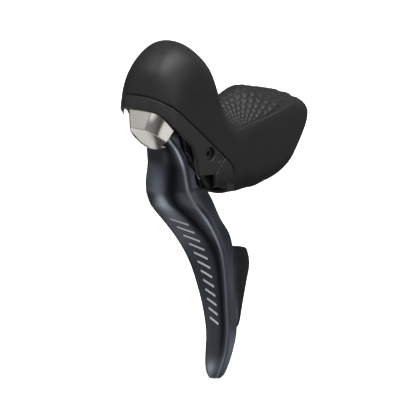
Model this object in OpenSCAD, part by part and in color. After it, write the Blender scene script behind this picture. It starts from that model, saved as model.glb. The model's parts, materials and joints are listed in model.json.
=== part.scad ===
// Left-hand brake and shift lever for a drop handlebar, with hydraulic brake cylinder.
// Millimetres, +Z up, -Y forward, +X towards the rider's left (outboard).
// The origin is the centre of the handlebar clamp.

/* [Handlebar clamp] */
// Diameter of the handlebar in the clamp
bar_d = 24; // [23.8:0.1:24.2]
// Backward lean of the handlebar at the clamp, in degrees
bar_tilt = 25; // [24:0.5:26]
// Height of the clamp band along the bar
band_h = 12; // [10:0.5:13]
// Thickness of the clamp band
band_t = 1.4; // [1:0.1:1.6]

/* [Grip skin] */
// Thickness of the rubber hood
hood_t = 2; // [1.5:0.1:2]
// Thickness of the moulded front shell
shell_t = 2.2; // [1.8:0.1:2.2]
// Gap where the hood meets the shell
seam = 0.3; // [0.2:0.05:0.5]
// Crease sharpness of the skin, higher is sharper
crease = 9; // [6:1:14]

/* [Brake lever] */
// Diameter of the brake axle
axle_d = 6; // [5:0.1:6]
// Distance of the push roller below the brake axle
push_arm = 13.5; // [13:0.1:14]
// Bore of the brake cylinder
cyl_bore = 9.5; // [9:0.1:10]

/* [Shift unit] */
// Forward lean of the shift axle, in degrees from level
unit_lean = 30; // [29:0.5:31]
// Diameter of the shift axle
shift_d = 6; // [5:0.1:6]
// Teeth on the ratchet wheel
teeth = 18; // [12:1:24]
// Radius over the ratchet teeth
ratchet_r = 8; // [7.5:0.1:8]

/* [Blade] */
// Wall thickness of the blade
blade_t = 2.2; // [1.8:0.1:2.4]
// Depth of the short inboard flange
flange_d = 5; // [4:0.5:5.5]
// Thickness of the release paddle
paddle_t = 1.8; // [1.4:0.1:2]

/* [Ports] */
// Diameter of the brake hose
hose_d = 5; // [4.9:0.1:5.1]
// Diameter of the shift casing
casing_d = 4; // [4:0.1:4.2]
// Sideways distance of the two ports from the centre
port_x = 7.2; // [7:0.1:7.4]

/* [Hidden] */
$fn = 48;
fit = 0.05;
snug = 0.02;
bar_r = bar_d / 2;
axle_r = axle_d / 2;
shift_r = shift_d / 2;
axle_y = -66;
axle_z = 5.5;
unit_y = -83;
unit_z = 21.5;
cyl_z = axle_z - push_arm;
sleeve_r = cyl_bore / 2 + 1.1;
plate_x = 13.4;
plate_t = 1.2;
pin_y = -15.5;
ring_points = 40;
skin_steps = 2;

// Stations of the outer skin from the rear end, over the saddle and the head, to the front opening:
// top point y, z, bottom point y, z, half width, top bevel across and down, bottom bevel across and up
SKIN = [
    [22, 18.5, -3, -17, 17.2, 7, 5, 7, 8],
    [16, 21, -8, -18, 17.8, 7, 5, 7, 8],
    [9, 23, -14, -19, 18.2, 7, 5, 7, 8],
    [3, 25, -19, -20, 18.5, 8, 6, 8, 8],
    [-9, 28, -26, -21, 18.5, 11, 9, 8, 8],
    [-23, 31, -33, -21, 18, 14, 15, 8, 8],
    [-36, 28, -39, -20.5, 17.5, 15, 14, 8, 8],
    [-47, 27, -45, -20, 17.5, 14, 12, 8, 8],
    [-56, 36, -48, -19.5, 17.5, 12, 12, 8, 8],
    [-62, 49, -51, -19, 17.5, 12, 12, 8, 8],
    [-68, 58, -53, -18.5, 17.5, 11, 11, 8, 8],
    [-78, 61.5, -54, -18, 17.5, 10, 11, 8, 8],
    [-88, 57.5, -56, -18, 17.5, 9, 12, 8, 8],
    [-96, 50, -58, -18, 17.5, 8.5, 13, 8, 8],
    [-100.5, 41, -60, -18, 17.5, 8.5, 13, 8, 8],
    [-103, 32, -62, -19, 17.5, 8.5, 13, 8, 8],
    [-104.5, 22, -64, -21, 17.5, 8.5, 13, 8, 8]
];

// Side outlines (y, z): the hood's lower front edge, its rear edge, and the rim of the shell
HOOD_EDGE = [[-112, 45], [-101, 38.6], [-92.5, 32.5], [-55, 2.5], [-50, -1.6], [-47.3, -5], [-46.9, -8],
    [-48.5, -13], [-53, -26]];
REAR_EDGE = [[-17, -24], [-9, -15.5], [-2.6, -10], [3, -4], [8.5, 3], [12, 9], [12.6, 14.5], [11, 18.5],
    [7.5, 22.5], [3, 30]];
RIM = [[-112, 37.8], [-103, 32.5], [-96, 28.2], [-92.5, 23.6], [-78, 10], [-75.5, 4], [-74, -3.8], [-62.4, -5.2],
    [-55.4, 1.6]];

// Side outline of the shell's inboard cut, which frees the way for the blade's inward swing
SWING_CUT = [[-112, 5], [-112, 36], [-98, 32], [-92.5, 30.8], [-87.5, 26], [-82, 18], [-76, 9], [-79, 5]];

// Stations of the blade: z, then x, y of the inboard edge, the crease, the ridge and the trailing edge
BLADE = [
    [20, -8, -88, 3, -91, 8, -89, 9.6, -82.5],
    [14, -9, -85, 3, -87.5, 8, -85, 9.9, -79],
    [8, -9.9, -83.7, 3, -83, 8.3, -79.5, 10, -75.5],
    [0, -10.7, -82.3, 3, -78.5, 8.5, -75, 10.4, -71],
    [-8, -11, -83.4, 3.3, -77, 8.8, -72.7, 10.3, -69.3],
    [-11.5, -10.9, -83.4, 3.4, -76.5, 8.9, -71.9, 10.6, -67.2],
    [-14, -10.8, -83.4, 3.5, -76.1, 9, -71.2, 11, -61.5],
    [-18, -10.3, -82.3, 3.9, -73.8, 9.2, -69, 11.2, -58.2],
    [-22, -9.7, -80.4, 4.4, -70.5, 9.6, -65.8, 11.6, -56],
    [-30, -8.5, -73.4, 5.2, -62.5, 10.1, -58.6, 12, -51.5],
    [-38, -6.7, -67.2, 6.7, -56.5, 11.2, -54.2, 12.9, -46],
    [-46, -5, -62.2, 8, -52.6, 12.2, -51.2, 13.9, -44.2],
    [-55, -3.2, -58.2, 9.6, -51.2, 13.4, -50.1, 14.9, -45.5],
    [-65, -1.2, -55.8, 11, -51.2, 14.5, -50.1, 16.1, -46.4],
    [-75, 0.8, -54.2, 11.9, -51.5, 15.4, -50.5, 17.2, -46.7],
    [-85, 2.9, -54.2, 12.8, -52, 16.3, -51.2, 18, -46.2],
    [-91, 4.1, -55.2, 13.3, -53.2, 16.8, -52.3, 18.6, -48],
    [-97, 5.2, -57, 13.8, -55.7, 17.3, -54.2, 19, -51],
    [-102.2, 6.6, -58.9, 14, -58.5, 17.3, -57, 18.9, -53.8],
    [-106.4, 8.8, -60.4, 14, -60.6, 16.8, -59.2, 18.4, -56.4],
    [-108.5, 11.6, -61.1, 14, -61.3, 16, -60.3, 17.2, -58.4]
];
BLADE_STEPS = 2;

// Stations of the release paddle: z, then x, y of the riveted flange, the bend and the rear edge
PADDLE = [
    [-46, 8.1, -45.2, 9.7, -43.2, 10.6, -41, 10.6, -40.5],
    [-48, 8.1, -45.4, 9.8, -43.2, 11, -37, 10.8, -33],
    [-51, 8.1, -45.8, 10.1, -43.6, 11.4, -37, 11, -30.8],
    [-57, 8.1, -46.2, 10.5, -44, 12.2, -38, 11.8, -30.4],
    [-65, 8.3, -46.6, 11.3, -44.4, 13, -39.5, 12.8, -34],
    [-75, 9.1, -47, 12.3, -44.8, 14, -41.5, 14, -38.6],
    [-84, 10.1, -47.4, 13.3, -45.2, 14.8, -43.6, 15, -42.4],
    [-87, 10.9, -47.6, 13.1, -45.8, 14.1, -45.2, 14.4, -44.6]
];

// One side of the front plate's facet corners: x, y, z
FACETS = [[7.6, -98.8, 30.7], [12, -93.6, 26.2], [13.4, -89, 21], [4.5, -101, 21.5], [9.5, -96.6, 19],
    [4.6, -93.8, 15.4], [10, -90, 14.4], [6, -88.9, 11.2]];

function total(v, i = 0) = i < len(v) ? v[i] + total(v, i + 1) : 0;
function spline(a, b, c, d, t) =
    (2 * b + (c - a) * t + (2 * a - 5 * b + 4 * c - d) * t * t + (3 * b - a - 3 * c + d) * t * t * t) / 2;
function between(rows, k) =
    let (last = len(rows) - 1, i = min(floor(k), last - 1))
    spline(rows[max(i - 1, 0)], rows[i], rows[i + 1], rows[min(i + 2, last)], k - i);
function smooth_rows(rows, steps) = [for (k = [0 : (len(rows) - 1) * steps]) between(rows, k / steps)];
function corner_cut(p) = [p[0], for (i = [0 : len(p) - 2]) each
    [p[i] * 0.75 + p[i + 1] * 0.25, p[i] * 0.25 + p[i + 1] * 0.75], p[len(p) - 1]];
function unit(v) = v / norm(v);
function left_of(v) = [-v[1], v[0]];
function edge_way(p, i) = unit(p[min(i + 1, len(p) - 1)] - p[max(i, 0)]);
function way_in(p, i) =
    let (n = len(p) - 1, a = edge_way(p, min(max(i - 1, 0), n - 1)), b = edge_way(p, min(i, n - 1)))
    left_of(unit(a + b)) / max(0.5, unit(a + b) * b);
function inset(p, t) = [for (i = [0 : len(p) - 1]) p[i] + way_in(p, i) * t];
function reversed(v) = [for (i = [len(v) - 1 : -1 : 0]) v[i]];

// One section of the skin: eight flat sides blended into each other, drawn in the station's own plane
function skin_ring(s, inwards) =
    let (up = [s[0] - s[2], s[1] - s[3]], full = norm(up) / 2, mid = [s[0] + s[2], s[1] + s[3]] / 2,
        w = s[4] - inwards, h = full - inwards,
        top_turn = atan2(s[5], s[6]), low_turn = atan2(s[7], s[8]),
        top_off = ((s[4] - s[5]) * s[6] + full * s[5]) / norm([s[5], s[6]]) - inwards,
        low_off = ((s[4] - s[7]) * s[8] + full * s[7]) / norm([s[7], s[8]]) - inwards,
        sides = [[0, w], [180, w], [90, h], [-90, h], [top_turn, top_off], [180 - top_turn, top_off],
            [-low_turn, low_off], [low_turn - 180, low_off]])
    [for (i = [0 : ring_points - 1])
        let (turn = 360 * i / ring_points, a = atan2(h * sin(turn), w * cos(turn)),
            r = pow(total([for (f = sides) pow(max(0, cos(a - f[0]) / f[1]), crease)]), -1 / crease),
            p = mid + unit(up) * r * sin(a))
        [r * cos(a), p[0], p[1]]];

// One section of the blade or paddle: a bent wall of even thickness, rounded at its corners
function wall_ring(z, path, t) =
    let (outer = corner_cut(corner_cut(path)), inner = corner_cut(corner_cut(inset(path, t))))
    [for (p = concat(outer, reversed(inner))) [p[0], p[1], z]];
function tip_thin(z) = blade_t * min(1, (z - BLADE[len(BLADE) - 1][0] + 1.6) / 8);
function blade_path(s) = [[s[1] + 0.8, s[2] + flange_d], [s[1], s[2]], [s[3], s[4]], [s[5], s[6]], [s[7], s[8]]];
function paddle_path(s) = [[s[1], s[2]], [s[3], s[4]], [s[5], s[6]], [s[7], s[8]]];

// A closed solid through rings that have equal numbers of points
module loft(rings) {
    n = len(rings[0]);
    m = len(rings);
    polyhedron(
        points = [for (r = rings) each r],
        faces = concat(
            [[for (i = [0 : n - 1]) i]],
            [for (k = [0 : m - 2], i = [0 : n - 1])
                [k * n + i, (k + 1) * n + i, (k + 1) * n + (i + 1) % n, k * n + (i + 1) % n]],
            [[for (i = [n - 1 : -1 : 0]) (m - 1) * n + i]]));
}

module skin(inwards) {
    loft([for (s = smooth_rows(SKIN, skin_steps)) skin_ring(s, inwards)]);
}

// A side outline drawn in y, z and given the width x0 to x1
module slab(outline, x0, x1) {
    translate([x0, 0, 0]) rotate([90, 0, 90]) linear_extrude(x1 - x0) polygon(outline);
}

module both_sides() {
    children();
    mirror([1, 0, 0]) children();
}

module at_bar() {
    rotate([-bar_tilt, 0, 0]) children();
}

// The shift unit's own frame: its Z runs forward along the shift axle, its Y points up
module at_unit() {
    translate([0, unit_y, unit_z]) rotate([90 + unit_lean, 0, 0]) children();
}

module tube(outer, inner, h) {
    difference() {
        cylinder(r = outer, h = h);
        translate([0, 0, -1]) cylinder(r = inner, h = h + 2);
    }
}

// Socket-head screw with its head's underside at z = 0 and its shank going down
module screw(r, length, head_r, head_h, key) {
    difference() {
        union() {
            translate([0, 0, -length]) cylinder(r = r, h = length);
            cylinder(r = head_r, h = head_h);
        }
        translate([0, 0, head_h * 0.35]) cylinder(r = key, h = head_h, $fn = 6);
    }
}

// Round-wire coil about Z, starting at z = 0
module coil(r, wire, pitch, turns) {
    per_turn = 14;
    loft([for (k = [0 : turns * per_turn])
        let (a = 360 * k / per_turn, z = pitch * k / per_turn)
        [for (j = [0 : 5]) let (b = -60 * j) [(r + wire * cos(b)) * cos(a), (r + wire * cos(b)) * sin(a),
            z + wire * sin(b)]]]);
}

// Moves a child from the Z axis onto a line along X through the brake axle
module on_axle(x0) {
    translate([x0, axle_y, axle_z]) rotate([0, 90, 0]) children();
}

// Moves a child from the Z axis onto the cylinder's line, pointing to the rear
module on_cylinder(y0) {
    translate([0, y0, cyl_z]) rotate([-90, 0, 0]) children();
}

// Space kept free under the body for the lever to swing into
module lever_gap() {
    translate([-14, -90, -30]) cube([28, 45, 18]);
}

module hood() {
    color([0.10, 0.10, 0.105]) resize([0, 0, 0]) difference() {
        intersection() {
            difference() {
                skin(0);
                skin(hood_t);
            }
            slab(concat(HOOD_EDGE, [[-53, -30], [-17, -30]], smooth_rows(REAR_EDGE, 2), [[-20, 75], [-112, 75]]),
                -25, 25);
        }
        lever_gap();
        port_slot();
        at_bar() translate([0, 0, -50]) cylinder(r = bar_r + 0.3, h = 50);
    }
}

// Opening in the floor of the hood where the hose and the casing leave along the bar
module port_slot() {
    at_bar() translate([-11.2, -22, -40]) cube([22.4, 12, 30]);
}

module bracket_shell() {
    edge = [for (p = HOOD_EDGE) if (p[0] < -50.5 && p[1] > 0) [p[0], p[1] - seam * 1.3]];
    color([0.13, 0.13, 0.135]) resize([0, 0, 0]) difference() {
        intersection() {
            difference() {
                skin(0.15);
                skin(shell_t);
            }
            slab(concat(edge, reversed(RIM)), -25, 25);
        }
        on_axle(-25) cylinder(r = 3.3, h = 50);
        translate([0, -59.4, 2]) rotate([0, 90, 0]) cylinder(r = 1.7, h = 25);
        slab(SWING_CUT, -25, -14);
    }
}

// Trim behind the shell: two cheeks with a rounded lower edge, joined by a cross bar
module lower_cover() {
    color([0.14, 0.14, 0.145]) resize([0, 0, 0]) union() {
        difference() {
            intersection() {
                difference() {
                    skin(0.15);
                    skin(shell_t);
                }
                slab([[-54.4, 1.7], [-62, -5.6], [-59.8, -11], [-61.5, -20], [-61.5, -26], [-53.6, -26], [-49, -13],
                    [-47.4, -8], [-47.8, -5.2], [-50.3, -1.9]], -25, 25);
            }
            translate([-13.6, -70, -30]) cube([27.2, 30, 26]);
        }
        translate([-14.2, -51.6, -14.6]) cube([28.4, 2, 2.2]);
    }
}

// Cast inner frame: two side plates, a slanted wall, the cylinder, the reservoir and the bar saddle
module bracket_body() {
    plate = [[-66, 40], [-72, 43.2], [-77, 41.8], [-81, 38.8], [-86.3, 32], [-87.2, 28.5], [-85.5, 18.2],
        [-77.2, 11.4], [-74.6, 5], [-72.9, -2.6], [-61.9, -3.8], [-55, 1], [-50, -6], [-38, -7], [-30, -9],
        [-22, -9], [-16, -6], [-9, 8], [-10, 11.5], [-42, 9.3], [-50, 12], [-58, 19]];
    wall = [[-69, 40], [-66, 40], [-55, 23.3], [-45, 11], [-45, -10.5], [-48, -10.5], [-48, 11]];
    color([0.30, 0.31, 0.33]) difference() {
        union() {
            both_sides() slab(plate, plate_x, plate_x + plate_t);
            slab(wall, -plate_x, plate_x);
            on_cylinder(-48) cylinder(r = sleeve_r + 1.4, h = 18.5);
            translate([-plate_x, -46, -9]) cube([2 * plate_x, 16, 5]);
            translate([-plate_x, -84, 38.4]) cube([2 * plate_x, 18, 1.6]);
            translate([-9.5, -84, 39]) cube([19, 13, 10]);
            translate([-plate_x, -46, 4]) cube([2 * plate_x, 12, 3]);
            at_unit() translate([0, -11.5, -25]) cylinder(r = 3.4, h = 9.5);
            at_bar() saddle_block();
            at_bar() port_block();
        }
        on_axle(-25) cylinder(r = axle_r + fit, h = 50);
        on_cylinder(-50) cylinder(r = sleeve_r + snug, h = 19);
        on_cylinder(-33) cylinder(r = 1.2, h = 12);
        translate([-7.5, -82, 41]) cube([15, 9, 20]);
        at_unit() translate([0, -11.5, -18]) cylinder(r = 2.2 + snug, h = 6);
        at_bar() cylinder(r = bar_r, h = 60, center = true);
        at_bar() translate([-4, -26, -band_h / 2 - 0.4]) cube([8, 16, band_h + 0.8]);
        at_bar() translate([0, 0, -band_h / 2 - 0.4]) cylinder(r = bar_r + band_t + 0.5, h = band_h + 0.8);
        at_bar() rotate([90, 0, 0]) cylinder(r = 2.7, h = 40);
        at_bar() ports_bored();
        lid_screw_places() translate([0, 0, -8]) cylinder(r = 0.8 + snug, h = 10);
        translate([plate_x - 1, -59.4, 2]) rotate([0, 90, 0]) cylinder(r = 1.2 + snug, h = 5);
    }
}

// The four screw points of the reservoir lid, with z = 0 on the rim of the reservoir
module lid_screw_places() {
    for (x = [-8.45, 8.45], y = [-82.95, -72.05]) translate([x, y, 49]) children();
}

// Front half of the seat that rests on the bar, above and below the band
module saddle_block() {
    half = plate_x + plate_t / 2;
    translate([-half, -22, 7]) cube([2 * half, 16, 3.6]);
    translate([-half, -13.1, -12]) cube([2 * half, 7.1, 5]);
    translate([-half, -22, -4]) cube([2 * half, 4, 12]);
}

// Block that takes the two port fittings, in front of the bar
module port_block() {
    translate([-11.5, -22, -6.5]) cube([23, 8.4, 8]);
}

module ports_bored() {
    translate([-port_x, -17.8, -8]) cylinder(r = 3.5, h = 7);
    translate([port_x, -17.8, -8]) cylinder(r = 3.25, h = 7);
    for (x = [-port_x, port_x]) translate([x, -17.8, -2]) cylinder(r = 0.9, h = 5);
}

module hose_nut() {
    color([0.62, 0.63, 0.65]) at_bar() translate([-port_x, -17.8, -13]) difference() {
        union() {
            cylinder(r = 3.3, h = 9);
            cylinder(r = 3.7, h = 4, $fn = 6);
        }
        translate([0, 0, -1]) cylinder(r = hose_d / 2 + 0.08, h = 11);
    }
}

module olive() {
    color([0.78, 0.62, 0.28]) at_bar() translate([-port_x, -17.8, -3.8]) tube(3.2, hose_d / 2 + 0.05, 2);
}

module casing_seat() {
    color([0.18, 0.18, 0.19]) at_bar() translate([port_x, -17.8, -10]) difference() {
        union() {
            cylinder(r = 3.15, h = 8.5);
            cylinder(r = 3.7, h = 1.8);
        }
        translate([0, 0, -1]) cylinder(r = casing_d / 2 + 0.1, h = 8);
        cylinder(r = 0.8, h = 10);
    }
}

module clamp_band() {
    color([0.72, 0.73, 0.75]) at_bar() difference() {
        translate([0, 0, -band_h / 2]) union() {
            tube(bar_r + band_t, bar_r, band_h);
            both_sides() translate([1.9, -20, 0]) cube([band_t, 8.2, band_h]);
        }
        translate([-1.9, -25, -band_h]) cube([3.8, 24, 2 * band_h]);
        rotate([90, 0, 0]) cylinder(r = 2.7, h = 40);
        cylinder(r = bar_r, h = 60, center = true);
    }
}

module clamp_nut() {
    color([0.55, 0.56, 0.58]) at_bar() difference() {
        translate([-1.85, -19.6, -4.5]) cube([3.7, 5.4, 9]);
        rotate([90, 0, 0]) cylinder(r = 1.25, h = 40);
    }
}

module clamp_bolt() {
    color([0.60, 0.61, 0.63]) at_bar() translate([0, -26.4, 0]) rotate([90, 0, 0]) screw(1.2, 12, 3.4, 3.4, 1.7);
}

module brake_axle() {
    color([0.66, 0.67, 0.69]) difference() {
        on_axle(-15.4) cylinder(r = axle_r, h = 30.8);
        on_axle(-15.5) cylinder(r = 1.2, h = 2, $fn = 6);
        on_axle(13.6) cylinder(r = 1.4, h = 2, $fn = 6);
    }
}

module axle_lock_screw() {
    color([0.50, 0.51, 0.53]) translate([16.1, -59.4, 2]) rotate([0, 90, 0]) screw(1.2, 2.6, 1.6, 0.9, 0.8);
}

module brake_return_spring() {
    color([0.75, 0.75, 0.72]) on_axle(-6.6) coil(3.75, 0.4, 1, 3);
}

module rest_bumper() {
    color([0.05, 0.05, 0.05]) at_unit() translate([0, -11.5, -18]) cylinder(r = 2.2, h = 4.4);
}

module cylinder_sleeve() {
    color([0.80, 0.80, 0.78]) on_cylinder(-49.5) tube(sleeve_r, cyl_bore / 2, 18.5);
}

module stop_ring() {
    color([0.35, 0.36, 0.38]) on_cylinder(-49.4) tube(cyl_bore / 2 - 0.02, 2.6, 0.8);
}

module piston_spring() {
    color([0.75, 0.75, 0.72]) on_cylinder(-36.3) coil(3.2, 0.4, 1.35, 3.5);
}

module piston() {
    r = cyl_bore / 2 - 0.05;
    color([0.70, 0.71, 0.66]) difference() {
        on_cylinder(-48.2) cylinder(r = r, h = 11);
        for (y = [-46.8, -40.4]) on_cylinder(y) tube(r + 1, r - 1.3, 1.8);
        on_cylinder(-49) cylinder(r = 2.1, h = 4);
    }
}

module seal_ring(y) {
    color([0.07, 0.07, 0.07]) on_cylinder(y + 0.1) tube(cyl_bore / 2 - 0.05, cyl_bore / 2 - 1.3, 1.6);
}

module primary_seal() {
    seal_ring(-40.4);
}

module secondary_seal() {
    seal_ring(-46.8);
}

module push_rod() {
    color([0.58, 0.59, 0.61]) {
        on_cylinder(-61.4) cylinder(r = 4, h = 1.8);
        on_cylinder(-60) cylinder(r = 1.8, h = 14.8);
    }
}

module reservoir_diaphragm() {
    color([0.08, 0.08, 0.09]) difference() {
        union() {
            translate([-7.4, -81.9, 47.8]) cube([14.8, 8.8, 1.2]);
            translate([-6.2, -80.7, 43]) cube([12.4, 6.4, 5]);
        }
        translate([-5.2, -79.7, 44]) cube([10.4, 4.4, 6]);
    }
}

module reservoir_lid() {
    color([0.22, 0.22, 0.24]) difference() {
        union() {
            translate([-9.5, -84, 49]) cube([19, 13, 1.5]);
            translate([0, -77.5, 50]) cylinder(r = 4, h = 2);
        }
        translate([0, -77.5, 48]) cylinder(r = 2 + fit, h = 10);
        lid_screw_places() translate([0, 0, -1]) cylinder(r = 0.8 + fit, h = 10);
    }
}

module lid_screws() {
    color([0.60, 0.61, 0.63]) lid_screw_places() translate([0, 0, 1.5]) screw(0.8, 5, 1, 0.8, 0.55);
}

module bleed_screw() {
    color([0.62, 0.63, 0.65]) translate([0, -77.5, 53.1]) screw(2, 5.5, 3.2, 2, 1.3);
}

module bleed_o_ring() {
    color([0.06, 0.06, 0.06]) translate([0, -77.5, 52.05]) tube(2.9, 2.02, 1);
}

// Frame of the shift unit: rear plate, two cheeks on the brake axle and the roller lugs
module carrier() {
    cheek = [[-58.5, 8], [-61, 14], [-63.4, 14.2], [-75.6, 35], [-77.9, 34.2], [-77, 24], [-77.5, 17], [-73.5, 9],
        [-70, 2], [-67, -7], [-66, -11], [-61.5, -11], [-60, -4], [-58.5, 2]];
    color([0.45, 0.46, 0.48]) difference() {
        union() {
            both_sides() slab(cheek, 9, 11);
            at_unit() translate([-11, -16.5, -13]) cube([22, 24.9, 2]);
            both_sides() on_axle(7.5) cylinder(r = 5.6, h = 3.6);
            both_sides() slab([[-67, -4], [-61, -4], [-61.5, -11], [-66.5, -11]], 5.2, 9);
        }
        on_axle(-25) cylinder(r = axle_r + 0.9 + snug, h = 50);
        at_unit() translate([0, 0, -20]) cylinder(r = shift_r + snug, h = 20);
        at_unit() translate([-8.4, 6.3, -20]) cylinder(r = 1.2 + snug, h = 20);
        at_unit() translate([0, -11.5, -20]) cylinder(r = 1.5 + snug, h = 20);
        translate([-25, axle_y + 2, cyl_z]) rotate([0, 90, 0]) cylinder(r = 1.4 + snug, h = 50);
    }
}

module axle_bushes() {
    color([0.72, 0.60, 0.30]) both_sides() on_axle(7.4) tube(axle_r + 0.9, axle_r + fit, 5.4);
}

module roller_pin() {
    color([0.66, 0.67, 0.69]) translate([-8.6, axle_y + 2, cyl_z]) rotate([0, 90, 0]) cylinder(r = 1.4, h = 17.2);
}

module push_roller() {
    color([0.80, 0.80, 0.78]) translate([-4.8, axle_y + 2, cyl_z]) rotate([0, 90, 0]) tube(2.3, 1.45, 9.6);
}

// Black shell around the shift unit, with a rounded lobe low on each side
module unit_cover() {
    low = [[-66.2, -9.5], [-63, -12.6], [-57, -12.8], [-53.4, -9.6], [-54.6, -6], [-58, 2], [-60, 11], [-66, 22],
        [-77.1, 37.6], [-86.8, 32], [-86.3, 30.5], [-82.4, 26], [-82.4, 20]];
    outboard_front = [[-80.6, 14], [-78.4, 8], [-73.8, 1.7], [-69.8, -4.5]];
    inboard_front = [[-75.5, 14], [-70.5, 6.5], [-68, -1], [-66.6, -6]];
    color([0.03, 0.03, 0.032]) difference() {
        union() {
            slab(concat(low, outboard_front), 11.2, 13);
            slab(concat(low, inboard_front), -13, -11.2);
            at_unit() translate([-13, 9.8, -13.2]) cube([26, 1.2, 11.2]);
        }
        on_axle(-25) cylinder(r = axle_r + 1.1, h = 50);
    }
}

// Polished faceted plate over the front of the unit, hollow behind
module nameplate() {
    color([0.80, 0.79, 0.76]) resize([0, 0, 0]) difference() {
        front_plate(0);
        front_plate(1.2);
    }
}

module front_plate(inwards) {
    right = [for (p = FACETS) [max(0, p[0] - inwards), p[1] + inwards, p[2] - inwards * 0.2]];
    left = [for (p = right) [-p[0], p[1], p[2]]];
    back = [for (i = [0, 1, 2, 6, 7]) right[i] + [0, (i < 3 ? 6 : 2.6) + 2 * inwards, (i < 3 ? 3.5 : 1.5) + inwards]];
    back_left = [for (p = back) [-p[0], p[1], p[2]]];
    hull() polyhedron(points = concat(right, left, back, back_left), faces = [[for (i = [0 : 25]) i]]);
}

module nameplate_screw() {
    color([0.62, 0.63, 0.65]) at_unit() translate([0, 0, 6]) cylinder(r = 1.5 - snug, h = 5.2);
}

module shift_axle() {
    color([0.66, 0.67, 0.69]) at_unit() difference() {
        union() {
            translate([0, 0, -15]) cylinder(r = shift_r + 2, h = 2);
            translate([0, 0, -13]) cylinder(r = shift_r, h = 22.4);
        }
        translate([0, 0, 5]) cylinder(r = 1.5, h = 6);
    }
}

module shift_axle_nut() {
    color([0.62, 0.63, 0.65]) at_unit() translate([0, 0, 7]) difference() {
        cylinder(r = 5, h = 2.2, $fn = 6);
        translate([0, 0, -1]) cylinder(r = shift_r, h = 5);
    }
}

module lever_spring() {
    color([0.75, 0.75, 0.72]) at_unit() translate([0, 0, 4.9]) coil(3.9, 0.35, 0.8, 2);
}

module holding_pawl_pin() {
    color([0.66, 0.67, 0.69]) at_unit() translate([-8.4, 6.3, -13]) cylinder(r = 1.2, h = 11.4);
}

module reach_screw() {
    color([0.50, 0.51, 0.53]) at_unit() translate([0, -11.5, -11]) screw(1.5, 2.2, 2.2, 1.4, 1);
}

module cable_spool() {
    color([0.25, 0.25, 0.27]) at_unit() translate([0, 0, -10.4]) difference() {
        rotate_extrude() polygon([[shift_r + 0.9, 0], [ratchet_r, 0], [ratchet_r, 1.1], [6.2, 1.6], [6.2, 3.4],
            [ratchet_r, 3.9], [ratchet_r, 5], [shift_r + 0.9, 5]]);
        translate([5.4, 0, 2.5]) rotate([90, 0, 0]) cylinder(r = 0.7, h = 10);
    }
}

module spool_bush() {
    color([0.72, 0.60, 0.30]) at_unit() translate([0, 0, -10.8]) tube(shift_r + 0.9, shift_r + fit, 8.4);
}

module ratchet_wheel() {
    color([0.58, 0.59, 0.61]) at_unit() translate([0, 0, -5.2]) linear_extrude(2.4) difference() {
        polygon([for (i = [0 : teeth - 1]) each [
            ratchet_r * [cos(360 * i / teeth), sin(360 * i / teeth)],
            (ratchet_r - 1.1) * [cos(360 * (i + 0.25) / teeth), sin(360 * (i + 0.25) / teeth)]]]);
        circle(r = shift_r + 0.9);
    }
}

// A pawl on its pin, with an arm that reaches towards the wheel
module pawl(arm) {
    difference() {
        union() {
            cylinder(r = 2.2, h = 2);
            linear_extrude(2) polygon(arm);
        }
        translate([0, 0, -1]) cylinder(r = 1.25, h = 4);
    }
}

module holding_pawl() {
    color([0.55, 0.56, 0.58]) at_unit() translate([-8.4, 6.3, -5])
        pawl([[-2, 1], [1, 1.9], [6, 2.2], [6.2, 1.75], [1.5, -0.6]]);
}

module winding_pawl() {
    color([0.55, 0.56, 0.58]) at_unit() translate([5.5, -9.3, -5])
        pawl([[1.8, -1], [-1, -2], [-5.2, 0], [-5.4, 0.9], [-1.3, 1.4]]);
}

module winding_pawl_pin() {
    color([0.66, 0.67, 0.69]) at_unit() translate([5.5, -9.3, -5.2]) cylinder(r = 1.2, h = 8.8);
}

module main_blade() {
    color([0.17, 0.19, 0.22]) resize([0, 0, 0]) difference() {
        loft(reversed([for (s = smooth_rows(BLADE, BLADE_STEPS)) wall_ring(s[0], blade_path(s), tip_thin(s[0]))]));
        at_unit() translate([0, 0, -3]) cylinder(r = 9.4, h = 7.2);
        at_unit() cylinder(r = 5.6, h = 20);
        at_unit() translate([5.5, -9.3, -3]) cylinder(r = 2.3, h = 7.2);
        at_unit() rivet_places() translate([0, 0, -3]) cylinder(r = 1.25, h = 8, $fn = 12);
    }
}

module rivet_places() {
    for (x = [-2.6, 2.6]) translate([x, -12.7, 0]) children();
}

// Steel plate that hangs the blade on the shift axle
module blade_hub() {
    color([0.50, 0.51, 0.53]) at_unit() difference() {
        union() {
            translate([0, 0, 1]) cylinder(r = 7.8, h = 2.8);
            translate([-5, -18.5, 1]) cube([8.5, 15, 2.4]);
            translate([0, -10, 1]) cube([6, 5, 2.4]);
            translate([5.5, -9.3, 1]) cylinder(r = 2, h = 2.6);
        }
        cylinder(r = shift_r + fit, h = 10);
        translate([5.5, -9.3, 0]) cylinder(r = 1.2 + snug, h = 10);
        translate([0, pin_y, 0]) cylinder(r = 1.5 + snug, h = 10);
        rivet_places() cylinder(r = 1.2 + snug, h = 10);
    }
}

module blade_rivets() {
    color([0.66, 0.67, 0.69]) at_unit() rivet_places() translate([0, 0, 0.2]) {
        cylinder(r = 1.8, h = 0.8);
        cylinder(r = 1.2, h = 4.7);
    }
}

module release_pin() {
    color([0.66, 0.67, 0.69]) at_unit() translate([0, pin_y, -4.1]) {
        cylinder(r = 2.6, h = 0.6);
        cylinder(r = 1.5, h = 7.4);
    }
}

module release_spring() {
    color([0.75, 0.75, 0.72]) at_unit() translate([0, pin_y, -3.15]) coil(2.1, 0.25, 0.6, 2);
}

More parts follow.
